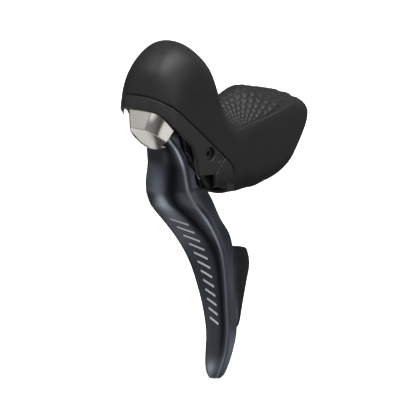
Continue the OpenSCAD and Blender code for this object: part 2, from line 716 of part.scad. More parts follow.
// Flat arm from the release pin down the hollow of the blade to the paddle
module paddle_arm() {
    color([0.40, 0.41, 0.43]) difference() {
        union() {
            at_unit() translate([0, pin_y, -1.6]) cylinder(r = 3, h = 1.6);
            at_unit() translate([0, -17.5, -1.6]) cube([6.4, 4, 1.6]);
            slab([[-75.6, 8.2], [-72.8, 0], [-70.8, -8], [-69.3, -15], [-65.2, -22], [-58.2, -30], [-53.4, -38],
                [-50.5, -46], [-49.8, -55], [-49.2, -65], [-48.4, -72], [-45.6, -72], [-45.8, -54], [-46.4, -46],
                [-49, -38], [-54, -30], [-61, -22], [-65.8, -15], [-68.2, -8], [-70.5, 0], [-71.8, 5],
                [-74.5, 9.1]], 4.6, 6.4);
        }
        at_unit() translate([0, pin_y, -5]) cylinder(r = 1.5 + fit, h = 10);
    }
}

module shift_paddle() {
    color([0.15, 0.16, 0.18]) resize([0, 0, 0]) difference() {
        loft([for (s = smooth_rows(PADDLE, 2)) wall_ring(s[0], paddle_path(s), -paddle_t)]);
        paddle_rivet_places() cylinder(r = 0.95, h = 4, $fn = 12);
    }
}

module paddle_rivet_places() {
    for (z = [-54, -67]) translate([6.4, -47, z]) rotate([0, 90, 0]) children();
}

module paddle_rivets() {
    color([0.66, 0.67, 0.69]) paddle_rivet_places() cylinder(r = 0.9, h = 3);
}

hood();
bracket_shell();
lower_cover();
bracket_body();
reservoir_diaphragm();
reservoir_lid();
lid_screws();
bleed_screw();
bleed_o_ring();
cylinder_sleeve();
stop_ring();
piston_spring();
piston();
primary_seal();
secondary_seal();
push_rod();
hose_nut();
olive();
casing_seat();
clamp_band();
clamp_nut();
clamp_bolt();
brake_axle();
axle_lock_screw();
brake_return_spring();
rest_bumper();
carrier();
axle_bushes();
roller_pin();
push_roller();
unit_cover();
nameplate();
nameplate_screw();
shift_axle();
shift_axle_nut();
lever_spring();
holding_pawl_pin();
reach_screw();
cable_spool();
spool_bush();
ratchet_wheel();
holding_pawl();
winding_pawl();
main_blade();
blade_hub();
blade_rivets();
winding_pawl_pin();
release_pin();
release_spring();
shift_paddle();
paddle_arm();
paddle_rivets();
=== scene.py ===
import math

import bmesh
import bpy
import numpy as np
from mathutils import Matrix, Vector
from mathutils.bvhtree import BVHTree
from mathutils.kdtree import KDTree
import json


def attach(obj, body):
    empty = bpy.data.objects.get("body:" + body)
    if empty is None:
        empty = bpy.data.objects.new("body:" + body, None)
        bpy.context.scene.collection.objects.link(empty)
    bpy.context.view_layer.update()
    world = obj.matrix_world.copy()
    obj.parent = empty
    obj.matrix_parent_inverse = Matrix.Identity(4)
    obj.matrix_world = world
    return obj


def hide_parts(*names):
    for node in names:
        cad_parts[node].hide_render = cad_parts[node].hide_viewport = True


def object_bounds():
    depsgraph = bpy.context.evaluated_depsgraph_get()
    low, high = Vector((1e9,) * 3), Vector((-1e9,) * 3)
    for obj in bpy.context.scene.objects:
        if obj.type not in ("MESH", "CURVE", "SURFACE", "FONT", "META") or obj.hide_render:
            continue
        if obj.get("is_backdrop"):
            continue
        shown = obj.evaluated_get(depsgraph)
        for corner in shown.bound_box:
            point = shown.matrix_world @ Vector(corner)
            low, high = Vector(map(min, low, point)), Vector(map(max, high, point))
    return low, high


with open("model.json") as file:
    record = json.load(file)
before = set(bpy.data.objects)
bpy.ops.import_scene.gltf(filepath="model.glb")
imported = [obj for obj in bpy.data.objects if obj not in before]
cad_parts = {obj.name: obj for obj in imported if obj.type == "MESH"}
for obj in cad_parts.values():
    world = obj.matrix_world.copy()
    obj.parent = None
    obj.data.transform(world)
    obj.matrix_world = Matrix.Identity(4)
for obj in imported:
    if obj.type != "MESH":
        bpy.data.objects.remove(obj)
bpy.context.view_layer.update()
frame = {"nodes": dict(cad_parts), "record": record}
MM = 0.001

# ---------------------------------------------------------------- shape tables, millimetres, close to the CAD source
# Sections of the body: top y, z, bottom y, z, half width, then how far the upper and the lower corners are cut off
SKIN = [
    [22, 18.5, -3, -17, 17.2, 7, 5, 7, 8],
    [16, 21, -8, -18, 17.8, 7, 5, 7, 8],
    [9, 23, -14, -19, 18.2, 7, 5, 7, 8],
    [3, 25, -19, -20, 18.5, 8, 6, 8, 8],
    [-9, 28, -26, -21, 18.5, 11, 9, 8, 8],
    [-23, 31, -33, -21, 18, 14, 15, 8, 8],
    [-36, 28, -39, -20.5, 17.5, 15, 14, 8, 8],
    [-47, 27, -45, -20, 17.5, 14, 12, 8, 8],
    [-56, 36, -48, -19.5, 17.5, 12, 12, 8, 8],
    [-62, 49, -51, -19, 17.5, 12, 12, 8, 8],
    [-68, 58, -53, -18.5, 17.5, 11, 11, 8, 8],
    [-78, 61.5, -54, -18, 17.5, 10, 11, 8, 8],
    [-88, 57.5, -56, -18, 17.5, 9, 12, 8, 8],
    [-96, 50, -58, -18, 17.5, 8.5, 13, 8, 8],
    [-99.9, 41, -60, -18, 17.5, 8.5, 13, 8, 8],
    [-101.5, 32, -62, -19, 17.5, 8.5, 13, 8, 8],
    [-101.6, 22, -64, -21, 17.5, 8.5, 13, 8, 8],
]
# Side outlines, as y, z
HOOD_EDGE = [
    [-112, 45], [-101, 38.6], [-92.5, 32.5], [-55, 2.5], [-50, -1.6], [-47.3, -5], [-46.9, -8], [-48.5, -13],
    [-53, -26],
]
REAR_EDGE = [
    [-17, -24], [-9, -15.5], [-2.6, -10], [3, -4], [8.5, 3], [12, 9], [12.6, 14.5], [11, 18.5], [7.5, 22.5], [3, 30],
]
RIM = [
    [-112, 37.8], [-103, 32.5], [-96, 28.2], [-92.5, 23.6], [-78, 10], [-75.5, 4], [-74, -3.8], [-62.4, -5.2],
    [-55.4, 1.6],
]
SWING_CUT = [
    [-112, -8], [-112, 36], [-98, 32], [-92.5, 30.8], [-87.5, 26], [-82, 18], [-76, 9], [-69.8, 4], [-69.8, -8],
]
LOWER_EDGE = [
    [-54.4, 1.7], [-62, -5.6], [-59.8, -11], [-61.5, -20], [-61.5, -26], [-53.6, -26], [-49, -13], [-47.4, -8],
    [-47.8, -5.2], [-50.3, -1.9],
]
SADDLE_EDGE = np.array(
    [[12, 21.5], [-0.5, 19.7], [-17, 16.9], [-30.8, 14.8], [-39.6, 13.8], [-44.5, 13.7], [-49.7, 16.8], [-53.2, 21.8],
     [-57.6, 28.4], [-59.5, 33.4], [-61.5, 40]]
)
# Sections of the blade and the paddle: z, then four points as x, y
BLADE = [
    [20, -8, -88, 3, -91, 8, -89, 9.6, -82.5],
    [14, -9, -85, 3, -87.5, 8, -85, 9.9, -79],
    [8, -9.9, -83.7, 3, -83, 8.3, -79.5, 10, -75.5],
    [0, -10.7, -82.3, 3, -78.5, 8.5, -75, 10.4, -71],
    [-8, -11, -83.4, 3.3, -77, 8.8, -72.7, 10.3, -69.3],
    [-11.5, -10.9, -83.4, 3.4, -76.5, 8.9, -71.9, 10.6, -67.2],
    [-14, -10.8, -83.4, 3.5, -76.1, 9, -71.2, 11, -61.5],
    [-18, -10.3, -82.3, 3.9, -73.8, 9.2, -69, 11.2, -58.2],
    [-22, -9.7, -80.4, 4.4, -70.5, 9.6, -65.8, 11.6, -56],
    [-30, -8.5, -73.4, 5.2, -62.5, 10.1, -58.6, 12, -51.5],
    [-38, -6.7, -67.2, 6.7, -56.5, 11.2, -54.2, 12.9, -46],
    [-46, -5, -62.2, 8, -52.6, 12.2, -51.2, 13.9, -44.2],
    [-55, -3.2, -58.2, 9.6, -51.2, 13.4, -50.1, 14.9, -45.5],
    [-65, -1.2, -55.8, 11, -51.2, 14.5, -50.1, 16.1, -46.4],
    [-75, 0.8, -54.2, 11.9, -51.5, 15.4, -50.5, 17.2, -46.7],
    [-85, 2.9, -54.2, 12.8, -52, 16.3, -51.2, 18, -46.2],
    [-91, 4.1, -55.2, 13.3, -53.2, 16.8, -52.3, 18.6, -48],
    [-97, 5.2, -57, 13.8, -55.7, 17.3, -54.2, 19, -51],
    [-102.2, 6.6, -58.9, 14, -58.5, 17.3, -57, 18.9, -53.8],
    [-106.4, 8.8, -60.4, 14, -60.6, 16.8, -59.2, 18.4, -56.4],
    [-108.5, 11.6, -61.1, 14, -61.3, 16, -60.3, 17.2, -58.4],
]
PADDLE = [
    [-46, 8.1, -45.2, 9.7, -43.2, 10.6, -41, 10.6, -40.5],
    [-48, 8.1, -45.4, 9.8, -43.2, 11, -37, 10.8, -33],
    [-51, 8.1, -45.8, 10.1, -43.6, 11.4, -37, 11, -30.8],
    [-57, 8.1, -46.2, 10.5, -44, 12.2, -38, 11.8, -30.4],
    [-65, 8.3, -46.6, 11.3, -44.4, 13, -39.5, 12.8, -34],
    [-75, 9.1, -47, 12.3, -44.8, 14, -41.5, 14, -38.6],
    [-84, 10.1, -47.4, 13.3, -45.2, 14.8, -43.6, 15, -42.4],
    [-87, 10.9, -47.6, 13.1, -45.8, 14.1, -45.2, 14.4, -44.6],
]
# The groove down the blade: z, place across the face from the inboard edge 0 to the ridge 1, depth
GROOVE = [
    [-108, 0.82, 0.0], [-98, 0.82, 0.4], [-60, 0.80, 0.6], [-42, 0.79, 0.8], [-30, 0.73, 0.9], [-21, 0.66, 1.1],
    [-14, 0.66, 1.1], [-5, 0.72, 0.9], [5, 0.78, 0.7], [20, 0.80, 0.0],
]
# The outboard half of the front plate: corners of its facets, and the facets
PLATE = {
    "top": (6.9, -98.2, 30.8), "chin": (4.3, -100.4, 21.7), "cheek": (8.4, -95.5, 18.1), "brow": (11.4, -92.2, 26.1),
    "side": (12.5, -87.6, 20.55), "jaw": (10.0, -90.8, 14.6), "throat": (4.4, -93.6, 14.9), "low": (6.4, -90.6, 12.1),
    "foot": (2.6, -89.7, 9.9), "heel": (7.6, -88.6, 11.4), "arch": (9.9, -94.7, 27.9), "bow": (7.1, -97.6, 19.5),
}
PLATE_FACES = [
    ("top", "chin", "bow", "arch"), ("arch", "bow", "cheek", "brow"), ("brow", "cheek", "jaw", "side"),
    ("chin", "throat", "low", "jaw", "cheek", "bow"), ("throat", "foot", "low"), ("low", "foot", "heel"),
]
HOOD_T, SHELL_T, SEAM = 2.0, 2.2, 0.3
SHELL_GAP = 0.15  # how far the shell and the cover lie below the hood's surface
CREASE = 12.0  # how sharp the corners of the body's sections are
BLADE_T, FLANGE_D, PADDLE_T, PLATE_T = 2.2, 5.0, 1.8, 1.0
AXLE_Y, AXLE_Z, BAR_R, BAR_GAP, BAR_TILT = -66.0, 5.5, 12.0, 0.3, 25.0
UNIT_Y, UNIT_Z, UNIT_LEAN = -83.0, 21.5, 30.0
PAST = 25.0  # half width that clears the whole object
AXLE_HOLE_R, LOCK_HOLE_R, LOCK_Y, LOCK_Z = 3.3, 1.7, -59.4, 2
HOOD_VOXEL, SHELL_VOXEL = 0.42, 0.30
TREAD_HEIGHT, TREAD_FLOOR = 0.42, 0.5
HUB_R, AXLE_CLEAR_R, PIN_R, RIVET_R = 9.4, 5.6, 2.3, 1.25
MARKS, MARKS_TOP, MARKS_END = 12, -30.5, -82
MARK_STEPS, MARK_SLOPE, MARK_HALF_W = 8, 0.62, 0.55
PAINTED_LIGHT_GAIN = 6.0  # how many times brighter the blade's colour is painted at a full painted highlight, and darker at full painted shade


# ---------------------------------------------------------------- curve and section formulas
def spline(a, b, c, d, t):
    """A point between b and c on a smooth curve through all four."""
    return (2 * b + (c - a) * t + (2 * a - 5 * b + 4 * c - d) * t * t + (3 * b - a - 3 * c + d) * t ** 3) / 2


def smooth_rows(rows, steps):
    rows = np.array(rows, float)
    last = len(rows) - 1
    out = []
    for k in range(last * steps + 1):
        i = min(k // steps, last - 1)
        t = k / steps - i
        out.append(spline(rows[max(i - 1, 0)], rows[i], rows[i + 1], rows[min(i + 2, last)], t))
    return np.array(out)


def skin_ring(s, inwards, points):
    """One section of the body: eight sides, run together with soft corners."""
    up = np.array([s[0] - s[2], s[1] - s[3]])
    full = np.linalg.norm(up) / 2
    mid = np.array([s[0] + s[2], s[1] + s[3]]) / 2
    w, h = s[4] - inwards, full - inwards
    top_turn, low_turn = math.atan2(s[5], s[6]), math.atan2(s[7], s[8])
    top_off = ((s[4] - s[5]) * s[6] + full * s[5]) / math.hypot(s[5], s[6]) - inwards
    low_off = ((s[4] - s[7]) * s[8] + full * s[7]) / math.hypot(s[7], s[8]) - inwards
    sides = [
        (0, w), (math.pi, w), (math.pi / 2, h), (-math.pi / 2, h), (top_turn, top_off), (math.pi - top_turn, top_off),
        (-low_turn, low_off), (low_turn - math.pi, low_off),
    ]
    turn = np.linspace(0, 2 * math.pi, points, endpoint=False)
    a = np.arctan2(h * np.sin(turn), w * np.cos(turn))
    r = sum((np.maximum(0, np.cos(a - f)) / d) ** CREASE for f, d in sides) ** (-1 / CREASE)
    up = up / np.linalg.norm(up)
    across = r * np.cos(a)
    rise = r * np.sin(a)
    return np.stack([across, mid[0] + up[0] * rise, mid[1] + up[1] * rise], 1)


def corner_cut(p, times):
    """Rounds an open path by cutting its corners again and again."""
    for _ in range(times):
        mixed = [p[0]]
        for a, b in zip(p[:-1], p[1:]):
            mixed += [a * 0.75 + b * 0.25, a * 0.25 + b * 0.75]
        p = np.array(mixed + [p[-1]])
    return p


def inset(p, t):
    """The path at a distance t to its left."""
    n = len(p) - 1
    ways = [(p[i + 1] - p[i]) / np.linalg.norm(p[i + 1] - p[i]) for i in range(n)]
    out = []
    for i in range(n + 1):
        a, b = ways[max(i - 1, 0)], ways[min(i, n - 1)]
        m = (a + b) / np.linalg.norm(a + b)
        out.append(p[i] + np.array([-m[1], m[0]]) / max(0.5, m @ b) * t)
    return np.array(out)


def blade_path(s):
    return np.array([[s[1] + 0.8, s[2] + FLANGE_D], [s[1], s[2]], [s[3], s[4]], [s[5], s[6]], [s[7], s[8]]])


def paddle_path(s):
    return np.array([[s[1], s[2]], [s[3], s[4]], [s[5], s[6]], [s[7], s[8]]])


def tip_thin(z):
    return BLADE_T * min(1, (z - BLADE[-1][0] + 1.6) / 8)


def across_face(cuts):
    """Where the points of a rounded blade section lie, from its inboard edge 0 to the ridge 1."""
    across = np.array([-0.3, 0.0, 0.74, 1.0, 1.5])
    return corner_cut(np.column_stack([across, across]), cuts)[:, 0]


def step(x, lo, hi):
    """Rises smoothly from 0 at lo to 1 at hi."""
    t = np.clip((x - lo) / (hi - lo), 0, 1)
    return t * t * (3 - 2 * t)


def bell(x, width):
    return np.exp(-((x / width) ** 2))


def painted_light_level(u, z):
    """How much painted highlight (1) or painted shade (-1) goes into the blade's colour at a place on its face."""
    table = np.array(GROOVE)
    place = np.interp(z, table[:, 0], table[:, 1])
    # Painted highlight along the ridge, painted shade in the groove, painted highlights on the finger pad and at the
    # tip.
    ridge = bell(u - 0.985, 0.05) * np.interp(z, [-106, -60, -36, -18, 0, 12], [0.6, 0.7, 1.0, 0.95, 0.95, 1.0])
    dark = bell(u - place + 0.02, np.where(z > -36, 0.13, 0.09)) * np.interp(z, [-104, -90, 10], [0.0, 0.7, 1.0])
    pad = bell(u - 0.36, 0.2) * np.interp(z, [-32, -23, -8, 3], [0.0, 1.0, 0.8, 0.0])
    tip = bell(z + 104, 4.0) * bell(u - 0.5, 0.35)
    return np.clip(ridge - dark + 0.8 * pad + 0.9 * tip, -1, 1)


def relief(u, z):
    """How far the blade's front face stands proud: the finger pad, and the groove beside the ridge."""
    table = np.array(GROOVE)
    place, depth = np.interp(z, table[:, 0], table[:, 1]), np.interp(z, table[:, 0], table[:, 2])
    width = np.where(u < place, 0.12, (1.02 - place) * 0.8)
    pad = 0.9 * bell(u - 0.38, 0.24) * bell(z + 15, 8.0)
    return (pad - depth * bell(u - place, width)) * step(1.25 - u, 0.0, 0.3)


def wall_ring(z, path, t, cuts, carved=False):
    """One section of a bent plate, with the blade's relief where it is carved."""
    outer = corner_cut(path, cuts)
    inner = corner_cut(inset(path, t), cuts)[::-1]
    if carved:
        u = across_face(cuts)
        way = np.gradient(outer, axis=0)
        way = way / np.linalg.norm(way, axis=1)[:, None]
        outer = outer + np.stack([way[:, 1], -way[:, 0]], 1) * relief(u, z)[:, None]
    ring = np.concatenate([outer, inner])
    return np.column_stack([ring, np.full(len(ring), z)])


# ---------------------------------------------------------------- mesh helpers, in millimetres until placed
def new_object(name, verts, faces):
    mesh = bpy.data.meshes.new(name)
    mesh.from_pydata([tuple(v) for v in verts], [], [tuple(f) for f in faces])
    mesh.update()
    obj = bpy.data.objects.new(name, mesh)
    bpy.context.scene.collection.objects.link(obj)
    return obj


def outward(obj):
    bm = bmesh.new()
    bm.from_mesh(obj.data)
    bmesh.ops.recalc_face_normals(bm, faces=bm.faces)
    bm.to_mesh(obj.data)
    bm.free()
    return obj


def loft(name, rings):
    """A closed skin over rings with the same number of points."""
    n, m = len(rings[0]), len(rings)
    faces = [list(range(n - 1, -1, -1)), [(m - 1) * n + i for i in range(n)]]
    for k in range(m - 1):
        for i in range(n):
            j = (i + 1) % n
            faces.append([k * n + i, k * n + j, (k + 1) * n + j, (k + 1) * n + i])
    return outward(new_object(name, np.concatenate(rings), faces))


def skin(inwards, steps=8, points=176):
    return loft("skin", [skin_ring(s, inwards, points) for s in smooth_rows(SKIN, steps)])


def prism(outline, x0, x1):
    outline = np.array(outline, float)
    n = len(outline)
    verts = [(x, p[0], p[1]) for x in (x0, x1) for p in outline]
    faces = [list(range(n)), list(range(2 * n - 1, n - 1, -1))]
    faces += [[i, (i + 1) % n, n + (i + 1) % n, n + i] for i in range(n)]
    return outward(new_object("prism", verts, faces))


def rod(radius, start, end, sides=64):
    start, end = Vector(start), Vector(end)
    q = (end - start).to_track_quat("Z", "Y")
    verts = []
    for z in (0, (end - start).length):
        for k in range(sides):
            a = 2 * math.pi * k / sides
            verts.append(start + q @ Vector((radius * math.cos(a), radius * math.sin(a), z)))
    faces = [list(range(sides - 1, -1, -1)), list(range(sides, 2 * sides))]
    faces += [[k, (k + 1) % sides, sides + (k + 1) % sides, sides + k] for k in range(sides)]
    return outward(new_object("rod", verts, faces))


def block(lo, hi):
    (x0, y0, z0), (x1, y1, z1) = lo, hi
    return prism([[y0, z0], [y1, z0], [y1, z1], [y0, z1]], x0, x1)


def bar_frame(obj):
    """Turns an object made in the bar's own frame into the part's frame."""
    obj.data.transform(Matrix.Rotation(-math.radians(BAR_TILT), 4, "X"))
    return obj


def settle(obj):
    """Applies the object's modifiers to its mesh."""
    graph = bpy.context.evaluated_depsgraph_get()
    mesh = bpy.data.meshes.new_from_object(obj.evaluated_get(graph))
    obj.modifiers.clear()
    obj.data = mesh
    return obj


def bevelled(obj, width, angle, segments=3):
    mod = obj.modifiers.new("edge", "BEVEL")
    mod.width = width
    mod.segments = segments
    mod.limit_method = "ANGLE"
    mod.angle_limit = math.radians(angle)
    return settle(obj)


def cut(obj, operation, *tools):
    """Joins, cuts or trims the object by the tools, which are used up."""
    for tool in tools:
        mod = obj.modifiers.new("cut", "BOOLEAN")
        mod.operation = operation
        mod.solver = "MANIFOLD"
        mod.object = tool
    settle(obj)
    for tool in tools:
        bpy.data.objects.remove(tool)
    return obj


def remesh(obj, voxel, rounds):
    mod = obj.modifiers.new("remesh", "REMESH")
    mod.mode = "VOXEL"
    mod.voxel_size = voxel
    mod = obj.modifiers.new("relax", "SMOOTH")
    mod.factor = 0.5
    mod.iterations = rounds
    return settle(obj)


def coords(obj):
    co = np.zeros(len(obj.data.vertices) * 3)
    obj.data.vertices.foreach_get("co", co)
    return co.reshape(-1, 3)


def set_coords(obj, co):
    obj.data.vertices.foreach_set("co", np.asarray(co, float).ravel())
    obj.data.update()


def normals(obj):
    n = np.zeros(len(obj.data.vertices) * 3)
    obj.data.vertices.foreach_get("normal", n)
    return n.reshape(-1, 3)


def smooth(obj, angle=180.0):
    obj.data.shade_smooth()
    if angle < 180:
        obj.data.set_sharp_from_angle(angle=math.radians(angle))
    return obj


def place(obj, name, body, slot, material, *nodes):
    """Names a finished piece, brings it to metres, and ties it to its body and material. The slot is not used."""
    obj.name = name
    obj.data.name = name
    set_coords(obj, coords(obj) * MM)
    obj.data.materials.clear()
    obj.data.materials.append(material)
    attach(obj, body)
    if nodes:
        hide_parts(*nodes)
    return obj


# ---------------------------------------------------------------- materials
def material(name, base, rough, metal=0.0, tint=0.25, grain=900.0, bump=0.04, spread=0.06, **extra):
    """A finish with cloudy colour variation, and a fine surface grain that the roughness and the bump follow."""
    mat = bpy.data.materials.new(name)
    mat.use_nodes = True
    nodes, links = mat.node_tree.nodes, mat.node_tree.links
    shader = nodes["Principled BSDF"]
    where = nodes.new("ShaderNodeTexCoord")
    cloud = nodes.new("ShaderNodeTexNoise")
    cloud.inputs["Scale"].default_value = 95
    cloud.inputs["Detail"].default_value = 5
    links.new(where.outputs["Object"], cloud.inputs["Vector"])
    ramp = nodes.new("ShaderNodeValToRGB")
    lo = [c * (1 - tint) for c in base] + [1]
    hi = [min(1, c * (1 + tint)) for c in base] + [1]
    ramp.color_ramp.elements[0].color, ramp.color_ramp.elements[1].color = lo, hi
    ramp.color_ramp.elements[0].position, ramp.color_ramp.elements[1].position = 0.3, 0.7
    links.new(cloud.outputs["Fac"], ramp.inputs["Fac"])
    links.new(ramp.outputs["Color"], shader.inputs["Base Color"])
    fine = nodes.new("ShaderNodeTexNoise")
    fine.inputs["Scale"].default_value = grain
    fine.inputs["Detail"].default_value = 3
    links.new(where.outputs["Object"], fine.inputs["Vector"])
    span = nodes.new("ShaderNodeMapRange")
    span.inputs["To Min"].default_value = max(0.02, rough - spread)
    span.inputs["To Max"].default_value = rough + spread
    links.new(fine.outputs["Fac"], span.inputs["Value"])
    links.new(span.outputs["Result"], shader.inputs["Roughness"])
    relief = nodes.new("ShaderNodeBump")
    relief.inputs["Strength"].default_value = bump
    relief.inputs["Distance"].default_value = 0.0002
    links.new(fine.outputs["Fac"], relief.inputs["Height"])
    links.new(relief.outputs["Normal"], shader.inputs["Normal"])
    shader.inputs["Metallic"].default_value = metal
    for key, value in extra.items():
        shader.inputs[key.replace("_", " ")].default_value = value
    return mat


MATS = {
    "hood_rubber": material(
        "rubber", (0.018, 0.018, 0.0188), 0.46, grain=2200, bump=0.10, tint=0.12, Specular_IOR_Level=0.3
    ),
    "shell_plastic": material(
        "moulded_plastic", (0.026, 0.026, 0.0272), 0.42, grain=1600, bump=0.06, tint=0.08, Specular_IOR_Level=0.35
    ),
    "gloss_black": material("gloss_plastic", (0.010, 0.010, 0.011), 0.13, spread=0.03, grain=500, bump=0.01),
    "body_casting": material("casting", (0.10, 0.105, 0.11), 0.5, metal=0.8, grain=700, bump=0.2),
    "blade_metal": material(
        "anodised_blade", (0.082, 0.092, 0.108), 0.36, metal=1.0, grain=900, bump=0.015, tint=0.06, spread=0.02
    ),
    "paddle_metal": material("anodised_paddle", (0.060, 0.064, 0.070), 0.34, metal=1.0, grain=1800, bump=0.05),
    "polished": material(
        "polished_plate", (0.66, 0.64, 0.60), 0.14, metal=1.0, grain=600, bump=0.01, tint=0.04, spread=0.03
    ),
    "steel": material("steel", (0.46, 0.46, 0.47), 0.28, metal=1.0, grain=1100, bump=0.05, tint=0.1),
    "spring_steel": material("spring_steel", (0.55, 0.55, 0.53), 0.3, metal=1.0, grain=1100, bump=0.05),
    "alloy": material("alloy", (0.55, 0.56, 0.58), 0.34, metal=1.0, grain=900, bump=0.06, tint=0.1),
    "dark_alloy": material("dark_alloy", (0.10, 0.10, 0.11), 0.4, metal=0.8, grain=900, bump=0.08),
    "bearing_bronze": material("bronze", (0.52, 0.36, 0.14), 0.36, metal=1.0, grain=900, bump=0.08),
    "seal_rubber": material("seal_rubber", (0.012, 0.012, 0.012), 0.55, grain=1500, bump=0.05),
    "marks": material("silver_marks", (0.62, 0.64, 0.66), 0.4, grain=1500, bump=0.05, tint=0.05),
    "spool_plastic": material("spool_plastic", (0.045, 0.045, 0.05), 0.45, grain=1300, bump=0.06),
}


def paint_light_into_colour(mat, gain):
    """Paints highlight into a finish's colour where the piece's painted-light attribute is above 0, and paints shade
    into it where the attribute is below 0.
    """
    nodes, links = mat.node_tree.nodes, mat.node_tree.links
    shader = nodes["Principled BSDF"]
    colour = shader.inputs["Base Color"].links[0].from_socket
    painted_light = nodes.new("ShaderNodeAttribute")
    painted_light.attribute_name = "painted_light"
    power = nodes.new("ShaderNodeMath")
    power.operation = "POWER"
    power.inputs[0].default_value = gain
    links.new(painted_light.outputs["Fac"], power.inputs[1])
    scale = nodes.new("ShaderNodeVectorMath")
    scale.operation = "SCALE"
    links.new(colour, scale.inputs[0])
    links.new(power.outputs["Value"], scale.inputs["Scale"])
    links.new(scale.outputs["Vector"], shader.inputs["Base Color"])


def dress_nodes():
    """Gives every CAD node the finish of its slot. The axle and screw ends in the side panel are dark."""
    for part in frame["record"]["subparts"]:
        node = frame["nodes"][part["node"]]
        for k in range(len(node.data.materials)):
            node.data.materials[k] = MATS[part["material_slot"]]
        if not node.data.materials:
            node.data.materials.append(MATS[part["material_slot"]])
    for name in ("brake_axle", "axle_lock_screw"):
        frame["nodes"][name].data.materials[0] = MATS["dark_alloy"]


# The blade's colour gets painted highlights and painted shade from its points.
paint_light_into_colour(MATS["blade_metal"], PAINTED_LIGHT_GAIN)
dress_nodes()


# ---------------------------------------------------------------- grip hood
def saddle_depth(co):
    """How far a point lies above the side outline of the textured saddle, in the side view."""
    pts = SADDLE_EDGE
    best = np.full(len(co), 1e9)
    p = co[:, 1:]
    for a, b in zip(pts[:-1], pts[1:]):
        d = b - a
        t = np.clip(((p - a) @ d) / (d @ d), 0, 1)
        best = np.minimum(best, np.linalg.norm(p - a - t[:, None] * d, axis=1))
    front = np.interp(co[:, 2], pts[6:, 1], pts[6:, 0], left=-49.7, right=-61.5)
    floor = np.interp(-co[:, 1], -pts[:7, 0], pts[:7, 1])
    inside = (co[:, 1] > front) & ((co[:, 2] > floor) | (co[:, 1] < -49.7))
    return np.where(inside, best, -best)


def tread(co):
    """Raised ribs fanning over the saddle, notched into curved diamonds that grow away from the fan's centre."""
    rise = (17.5 - np.abs(co[:, 0])) * 0.75 + (co[:, 2] - 6) * 0.75
    along = co[:, 1] + 46
    turn = np.degrees(np.arctan2(along, np.maximum(rise, 0.5)))
    reach = np.maximum(np.hypot(along, rise), 4)
    row = turn / 7
    ring = np.log(reach / 4) / math.log(1.16)
    lattice = np.cos(2 * math.pi * row) + 0.75 * np.cos(2 * math.pi * (ring + 0.5 * np.floor(row + 0.5)))
    return TREAD_HEIGHT * step(lattice, -0.35, 0.75) * step(reach, 5, 9)


def grip_hood():
    """The rubber skin over the body, with a sunk saddle and its tread."""
    body = cut(skin(0), "DIFFERENCE", skin(HOOD_T))
    rear = smooth_rows(REAR_EDGE, 4)
    outline = HOOD_EDGE + [[-53, -30], [-17, -30]] + rear.tolist() + [[-20, 75], [-112, 75]]
    cut(body, "INTERSECT", prism(outline, -PAST, PAST))
    cut(
        body, "DIFFERENCE", block((-14, -90, -30), (14, -45, -12)),
        bar_frame(block((-11.2, -22, -40), (11.2, -10, -10))), bar_frame(rod(BAR_R + BAR_GAP, (0, 0, -50), (0, 0, 0))),
    )
    remesh(body, HOOD_VOXEL, 8)
    co, n = coords(body), normals(body)
    shell = skin(0, 6, 120)
    tree = BVHTree.FromObject(shell, bpy.context.evaluated_depsgraph_get())
    gap = np.array([tree.find_nearest(Vector(v))[3] for v in co])
    bpy.data.objects.remove(shell)
    outer = gap < 1.0
    inside = saddle_depth(co)
    level = step(inside, 0.8, 1.6) * tread(co) - TREAD_FLOOR * step(inside, -0.3, 0.4)
    co[outer] += n[outer] * level[outer, None]
    set_coords(body, co)
    return smooth(body)


place(grip_hood(), "grip_hood", "bracket", "hood_rubber", MATS["hood_rubber"], "hood")


# ---------------------------------------------------------------- front shell and lower cover
def front_shell():
    """Bezel and side panels, open on the inboard side for the swing of the blade."""
    body = cut(skin(SHELL_GAP), "DIFFERENCE", skin(SHELL_T))
    edge = [[y, z - SEAM * 1.3] for y, z in HOOD_EDGE if y < -50.5 and z > 0]
    cut(body, "INTERSECT", prism(edge + RIM[::-1], -PAST, PAST))
    cut(
        body, "DIFFERENCE", rod(AXLE_HOLE_R, (-PAST, AXLE_Y, AXLE_Z), (PAST, AXLE_Y, AXLE_Z)),
        rod(LOCK_HOLE_R, (0, LOCK_Y, LOCK_Z), (PAST, LOCK_Y, LOCK_Z)), prism(SWING_CUT, -PAST, -14),
    )
    remesh(body, SHELL_VOXEL, 3)
    return smooth(body)


def lower_trim():
    """Lower cover: its skin, the lip across it and a small corner block on each side."""
    body = cut(skin(SHELL_GAP), "DIFFERENCE", skin(SHELL_T))
    cut(body, "INTERSECT", prism(LOWER_EDGE, -PAST, PAST))
    cut(body, "DIFFERENCE", block((-13.6, -70, -30), (13.6, -40, -4)))
    cut(
        body, "UNION", block((-14.2, -51.6, -14.6), (14.2, -49.6, -12.4)),
        block((14.3, -51, -16.5), (15.6, -45.5, -8)), block((-15.6, -51, -16.5), (-14.3, -45.5, -8)),
    )
    remesh(body, SHELL_VOXEL, 3)
    return smooth(body)


place(front_shell(), "front_shell", "bracket", "shell_plastic", MATS["shell_plastic"], "bracket_shell")
place(lower_trim(), "lower_trim", "bracket", "shell_plastic", MATS["shell_plastic"], "lower_cover")


# ---------------------------------------------------------------- blade and paddle
def unit_point(x, y, z):
    """A point given in the shift unit's own frame."""
    a = math.radians(90 + UNIT_LEAN)
    return (x, UNIT_Y + y * math.cos(a) - z * math.sin(a), UNIT_Z + y * math.sin(a) + z * math.cos(a))


